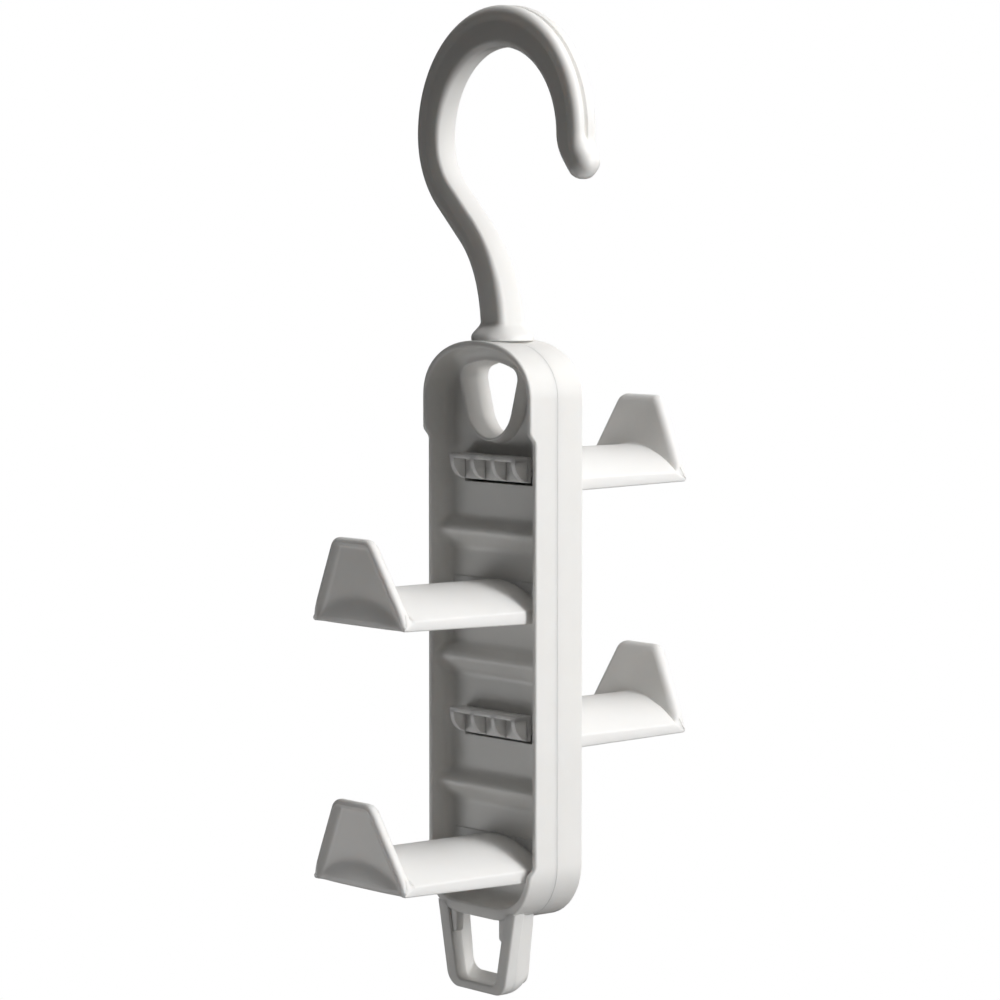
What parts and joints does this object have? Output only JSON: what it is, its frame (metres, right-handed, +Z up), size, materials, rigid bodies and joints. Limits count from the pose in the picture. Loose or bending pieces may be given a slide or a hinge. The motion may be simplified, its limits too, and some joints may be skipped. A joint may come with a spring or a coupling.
{
  "type": "hanging bag rack",
  "caption": "Slim white plastic hanging rack: a swivel rod hook over a long rounded body with saddle arms front and back, each ending in a leaning plate, and a loop below.",
  "frame": {"origin": "inner crown of the hook, where the rod carries it, on the swivel axis", "axes": "+Z up along the swivel axis, -Y the front of the body with the stepped rim, +X the side that the hook's tip is on"},
  "size_m": [0.102, 0.1502, 0.3843],
  "materials": {
    "hook_plastic": "satin",
    "shell_plastic": "satin",
    "arm_plastic": "satin"
  },
  "bodies": {
    "hook": {"swivel_hook": "hook_plastic"},
    "rack": {"front_shell": "shell_plastic", "rear_shell": "shell_plastic", "arm_rear_upper": "arm_plastic", "arm_front_upper": "arm_plastic", "arm_rear_lower": "arm_plastic", "arm_front_lower": "arm_plastic"}
  },
  "joints": [
    {"name": "hook_swivel", "type": "hinge", "parent": "hook", "child": "rack", "pos_m": [0, 0, -0.11397], "axis": [0, 0, 1], "continuous": true}
  ]
}
